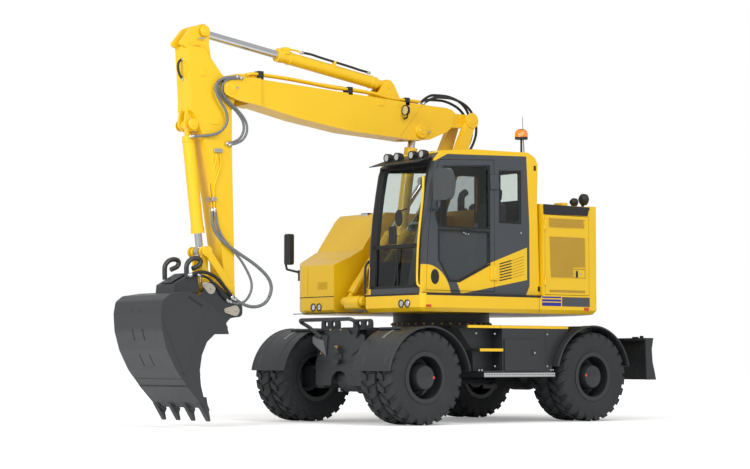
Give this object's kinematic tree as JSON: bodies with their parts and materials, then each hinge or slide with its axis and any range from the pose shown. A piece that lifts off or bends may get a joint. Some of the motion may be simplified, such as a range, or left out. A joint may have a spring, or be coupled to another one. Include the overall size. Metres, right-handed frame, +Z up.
{
  "type": "wheeled excavator",
  "caption": "Wheeled excavator with a cab, two-piece boom, arm, backhoe bucket on a coupler, twin tyres and a rear dozer blade.",
  "frame": {"origin": "on the ground under the middle of the length and width", "axes": "+X forward, +Y to the left, +Z up"},
  "size_m": [6.6363, 3.1934, 4.405],
  "materials": {
    "adjust_barrel": "gloss",
    "adjust_rod": "polished",
    "arm": "gloss",
    "arm_barrel": "gloss",
    "arm_rod": "polished",
    "blade": "satin",
    "blade_barrels": "satin",
    "blade_rods": "polished",
    "bucket": "satin",
    "bucket_barrel": "gloss",
    "bucket_link": "gloss",
    "bucket_rod": "polished",
    "bucket_sides": "satin",
    "cab_door": "satin",
    "cab_glass": "clear",
    "cab_shell": "gloss",
    "chassis_frame": "satin",
    "controls": "matt",
    "counterweight": "gloss",
    "coupler": "satin",
    "door_glass": "clear",
    "engine": "matt",
    "fittings": "matt",
    "front_axle": "satin",
    "front_guard": "satin",
    "hood": "gloss",
    "knuckle_left": "satin",
    "knuckle_right": "satin",
    "lift_barrels": "gloss",
    "lift_rods": "polished",
    "lower_boom": "gloss",
    "platform": "gloss",
    "rear_axle": "satin",
    "rear_fenders": "satin",
    "rocker": "gloss",
    "seat": "matt",
    "service_door": "gloss",
    "side_box_left": "satin",
    "side_box_right": "satin",
    "steering_rods": "polished",
    "tank": "gloss",
    "toolbox_door_left": "satin",
    "toolbox_door_right": "satin",
    "tow_jaw": "satin",
    "tyre_pair_front_left": "matt",
    "tyre_pair_front_right": "matt",
    "tyre_pair_rear_left": "matt",
    "tyre_pair_rear_right": "matt",
    "upper_boom": "gloss",
    "wheel_front_left": "satin",
    "wheel_front_right": "satin",
    "wheel_rear_left": "satin",
    "wheel_rear_right": "satin"
  },
  "bodies": {
    "chassis": {"chassis_frame": "chassis_frame", "front_axle": "front_axle", "rear_axle": "rear_axle", "side_box_left": "side_box_left", "side_box_right": "side_box_right", "front_guard": "front_guard", "tow_jaw": "tow_jaw", "rear_fenders": "rear_fenders"},
    "steering_rods": {"steering_rods": "steering_rods"},
    "knuckle_left": {"knuckle_left": "knuckle_left"},
    "knuckle_right": {"knuckle_right": "knuckle_right"},
    "wheel_front_left": {"wheel_front_left": "wheel_front_left", "tyre_pair_front_left": "tyre_pair_front_left"},
    "wheel_front_right": {"wheel_front_right": "wheel_front_right", "tyre_pair_front_right": "tyre_pair_front_right"},
    "wheel_rear_left": {"wheel_rear_left": "wheel_rear_left", "tyre_pair_rear_left": "tyre_pair_rear_left"},
    "wheel_rear_right": {"wheel_rear_right": "wheel_rear_right", "tyre_pair_rear_right": "tyre_pair_rear_right"},
    "toolbox_door_left": {"toolbox_door_left": "toolbox_door_left"},
    "toolbox_door_right": {"toolbox_door_right": "toolbox_door_right"},
    "blade": {"blade": "blade"},
    "blade_barrels": {"blade_barrels": "blade_barrels"},
    "blade_rods": {"blade_rods": "blade_rods"},
    "upper_structure": {"platform": "platform", "tank": "tank", "cab_shell": "cab_shell", "cab_glass": "cab_glass", "seat": "seat", "controls": "controls", "hood": "hood", "counterweight": "counterweight", "engine": "engine", "fittings": "fittings"},
    "cab_door": {"cab_door": "cab_door", "door_glass": "door_glass"},
    "service_door": {"service_door": "service_door"},
    "lower_boom": {"lower_boom": "lower_boom"},
    "lift_barrels": {"lift_barrels": "lift_barrels"},
    "lift_rods": {"lift_rods": "lift_rods"},
    "upper_boom": {"upper_boom": "upper_boom"},
    "adjust_barrel": {"adjust_barrel": "adjust_barrel"},
    "adjust_rod": {"adjust_rod": "adjust_rod"},
    "arm_barrel": {"arm_barrel": "arm_barrel"},
    "arm_rod": {"arm_rod": "arm_rod"},
    "arm": {"arm": "arm"},
    "rocker": {"rocker": "rocker"},
    "bucket_link": {"bucket_link": "bucket_link"},
    "bucket_barrel": {"bucket_barrel": "bucket_barrel"},
    "bucket_rod": {"bucket_rod": "bucket_rod"},
    "bucket": {"coupler": "coupler", "bucket": "bucket", "bucket_sides": "bucket_sides"}
  },
  "joints": [
    {"name": "swing", "type": "hinge", "parent": "chassis", "child": "upper_structure", "pos_m": [-0.91815, 0, 1.17], "axis": [0, 0, 1], "continuous": true},
    {"name": "steer_left", "type": "hinge", "parent": "chassis", "child": "knuckle_left", "pos_m": [0.38185, 0.62, 0.5275], "axis": [0, 0, 1], "range_deg": [-30, 30]},
    {"name": "steer_right", "type": "hinge", "parent": "chassis", "child": "knuckle_right", "pos_m": [0.38185, -0.62, 0.5275], "axis": [0, 0, 1], "range_deg": [-30, 30]},
    {"name": "steering_slide", "type": "slide", "parent": "chassis", "child": "steering_rods", "axis": [0, 1, 0], "range_m": [-0.12, 0.12]},
    {"name": "wheel_front_left_spin", "type": "hinge", "parent": "knuckle_left", "child": "wheel_front_left", "pos_m": [0.38185, 1, 0.5275], "axis": [0, 1, 0], "continuous": true},
    {"name": "wheel_rear_left_spin", "type": "hinge", "parent": "chassis", "child": "wheel_rear_left", "pos_m": [-2.21815, 1, 0.5275], "axis": [0, 1, 0], "continuous": true},
    {"name": "toolbox_left", "type": "hinge", "parent": "chassis", "child": "toolbox_door_left", "pos_m": [-1.09815, 1.2205, 0.597], "axis": [-1, 0, 0], "range_deg": [0, 95]},
    {"name": "wheel_front_right_spin", "type": "hinge", "parent": "knuckle_right", "child": "wheel_front_right", "pos_m": [0.38185, -1, 0.5275], "axis": [0, 1, 0], "continuous": true},
    {"name": "wheel_rear_right_spin", "type": "hinge", "parent": "chassis", "child": "wheel_rear_right", "pos_m": [-2.21815, -1, 0.5275], "axis": [0, 1, 0], "continuous": true},
    {"name": "toolbox_right", "type": "hinge", "parent": "chassis", "child": "toolbox_door_right", "pos_m": [-1.09815, -1.2205, 0.597], "axis": [1, 0, 0], "range_deg": [0, 95]},
    {"name": "blade_lift", "type": "hinge", "parent": "chassis", "child": "blade", "pos_m": [-2.55815, 0, 0.6], "axis": [0, -1, 0], "range_deg": [0, 33]},
    {"name": "blade_barrel_swing", "type": "hinge", "parent": "chassis", "child": "blade_barrels", "pos_m": [-2.55815, 0, 0.93], "axis": [0, -1, 0], "range_deg": [0, 24.5]},
    {"name": "blade_rod_slide", "type": "slide", "parent": "blade_barrels", "child": "blade_rods", "axis": [-0.9165, 0, -0.3999], "range_m": [0, 0.16]},
    {"name": "cab_door_swing", "type": "hinge", "parent": "upper_structure", "child": "cab_door", "pos_m": [-0.69615, 1.214, 2.2], "axis": [0, 0, 1], "range_deg": [0, 150]},
    {"name": "service_door_swing", "type": "hinge", "parent": "upper_structure", "child": "service_door", "pos_m": [-1.43815, 1.262, 1.95], "axis": [0, 0, 1], "range_deg": [-100, 0]},
    {"name": "boom_lift", "type": "hinge", "parent": "upper_structure", "child": "lower_boom", "pos_m": [-0.46815, -0.05, 1.66], "axis": [0, -1, 0], "range_deg": [-62, 4]},
    {"name": "lift_barrel_swing", "type": "hinge", "parent": "upper_structure", "child": "lift_barrels", "pos_m": [0.35185, -0.05, 1.4], "axis": [0, -1, 0], "range_deg": [-42.5, 3]},
    {"name": "lift_rod_slide", "type": "slide", "parent": "lift_barrels", "child": "lift_rods", "axis": [-0.6194, 0, 0.7851], "range_m": [-0.71, 0.05]},
    {"name": "boom_adjust", "type": "hinge", "parent": "lower_boom", "child": "upper_boom", "pos_m": [-1.29815, -0.05, 3.615], "axis": [0, -1, 0], "range_deg": [-2, 65]},
    {"name": "adjust_barrel_swing", "type": "hinge", "parent": "lower_boom", "child": "adjust_barrel", "pos_m": [-0.30915, -0.05, 2.053], "axis": [0, -1, 0], "range_deg": [-0.1, 1.8]},
    {"name": "adjust_rod_slide", "type": "slide", "parent": "adjust_barrel", "child": "adjust_rod", "axis": [-0.1513, 0, 0.9885], "range_m": [-0.03, 0.87]},
    {"name": "arm_swing", "type": "hinge", "parent": "upper_boom", "child": "arm", "pos_m": [2.21585, -0.05, 3.729], "axis": [0, 1, 0], "range_deg": [-75, 8]},
    {"name": "arm_barrel_swing", "type": "hinge", "parent": "upper_boom", "child": "arm_barrel", "pos_m": [-0.07815, -0.05, 3.955], "axis": [0, 1, 0], "range_deg": [-2.4, 0.3]},
    {"name": "arm_rod_slide", "type": "slide", "parent": "arm_barrel", "child": "arm_rod", "axis": [0.9901, 0, 0.1401], "range_m": [-0.83, 0.09]},
    {"name": "bucket_curl", "type": "hinge", "parent": "arm", "child": "bucket", "pos_m": [2.17085, -0.05, 1.268], "axis": [0, 1, 0], "range_deg": [-5, 150]},
    {"name": "rocker_swing", "type": "hinge", "parent": "arm", "child": "rocker", "pos_m": [2.21785, -0.05, 1.522], "axis": [0, 1, 0], "range_deg": [-4.2, 123.5]},
    {"name": "link_swing", "type": "hinge", "parent": "rocker", "child": "bucket_link", "pos_m": [2.51685, -0.05, 1.905], "axis": [0, 1, 0], "range_deg": [-68, 2.5]},
    {"name": "bucket_barrel_swing", "type": "hinge", "parent": "arm", "child": "bucket_barrel", "pos_m": [2.69485, -0.05, 3.288], "axis": [0, 1, 0], "range_deg": [-4, 0.2]},
    {"name": "bucket_rod_slide", "type": "slide", "parent": "bucket_barrel", "child": "bucket_rod", "axis": [-0.1277, 0, -0.9918], "range_m": [-0.03, 0.86]}
  ],
  "couplings": [
    {"joint": "steer_right", "follows": "steer_left", "ratio": 1},
    {"joint": "steering_slide", "follows": "steer_left", "m_per_rad": -0.225},
    {"joint": "blade_barrel_swing", "follows": "blade_lift", "ratio": 0.7295},
    {"joint": "blade_rod_slide", "follows": "blade_lift", "m_per_rad": 0.2727},
    {"joint": "lift_barrel_swing", "follows": "boom_lift", "ratio": 0.6752},
    {"joint": "lift_rod_slide", "follows": "boom_lift", "m_per_rad": 0.653},
    {"joint": "adjust_barrel_swing", "follows": "boom_adjust", "ratio": 0.0261},
    {"joint": "adjust_rod_slide", "follows": "boom_adjust", "m_per_rad": 0.7594},
    {"joint": "arm_barrel_swing", "follows": "arm_swing", "ratio": 0.0313},
    {"joint": "arm_rod_slide", "follows": "arm_swing", "m_per_rad": 0.6325},
    {"joint": "rocker_swing", "follows": "bucket_curl", "ratio": 0.82},
    {"joint": "link_swing", "follows": "bucket_curl", "ratio": -0.45},
    {"joint": "bucket_barrel_swing", "follows": "bucket_curl", "ratio": -0.025},
    {"joint": "bucket_rod_slide", "follows": "bucket_curl", "m_per_rad": 0.3254}
  ]
}
